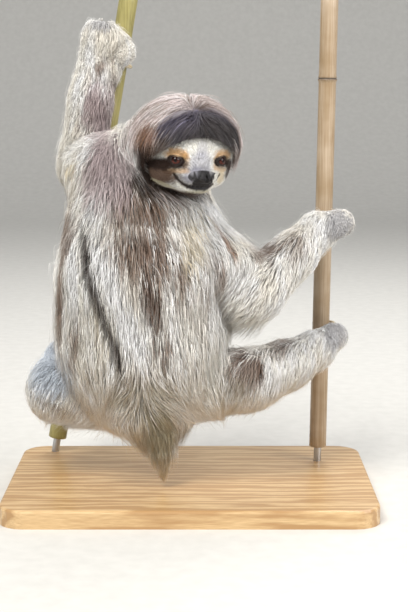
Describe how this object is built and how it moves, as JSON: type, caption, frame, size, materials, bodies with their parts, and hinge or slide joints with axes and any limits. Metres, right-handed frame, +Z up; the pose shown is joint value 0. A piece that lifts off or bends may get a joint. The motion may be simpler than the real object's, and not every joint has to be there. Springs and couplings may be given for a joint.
{
  "type": "three-toed sloth, still museum model on a display stand",
  "caption": "Life-size still model of a shaggy three-toed sloth holding two cut bamboo canes and looking back over its shoulder, on a flat display base.",
  "frame": {"origin": "centre of the display base's underside", "axes": "+Z up, +X to the right of a viewer who looks at the animal's back as in the picture, +Y away from that viewer"},
  "size_m": [0.37, 0.25, 0.5136],
  "materials": {
    "coat": "long shaggy fur, cream with taupe and dark brown markings",
    "nose": "bare damp black skin of the nose and lips",
    "eye": "wet dark reddish brown",
    "claw": "smooth pale horn",
    "bamboo": "dry yellow bamboo cane with a natural sheen",
    "base": "satin lacquered light oak",
    "rod": "brushed"
  },
  "bodies": {
    "root": {"head": "coat", "neck": "coat", "torso": "coat", "tail": "coat", "left_upper_arm": "coat", "left_forearm": "coat", "left_hand": "coat", "right_upper_arm": "coat", "right_forearm": "coat", "right_hand": "coat", "left_thigh": "coat", "left_shin": "coat", "left_foot": "coat", "right_thigh": "coat", "right_shin": "coat", "right_foot": "coat", "left_eye": "eye", "right_eye": "eye", "left_hand_claw_upper": "claw", "left_hand_claw_middle": "claw", "left_hand_claw_lower": "claw", "right_hand_claw_upper": "claw", "right_hand_claw_middle": "claw", "right_hand_claw_lower": "claw", "left_foot_claw_upper": "claw", "left_foot_claw_middle": "claw", "left_foot_claw_lower": "claw", "right_foot_claw_upper": "claw", "right_foot_claw_middle": "claw", "right_foot_claw_lower": "claw", "left_cane": "bamboo", "right_cane": "bamboo", "stand_base": "base", "stand_rod_left": "rod", "stand_rod_right": "rod"}
  },
  "joints": []
}
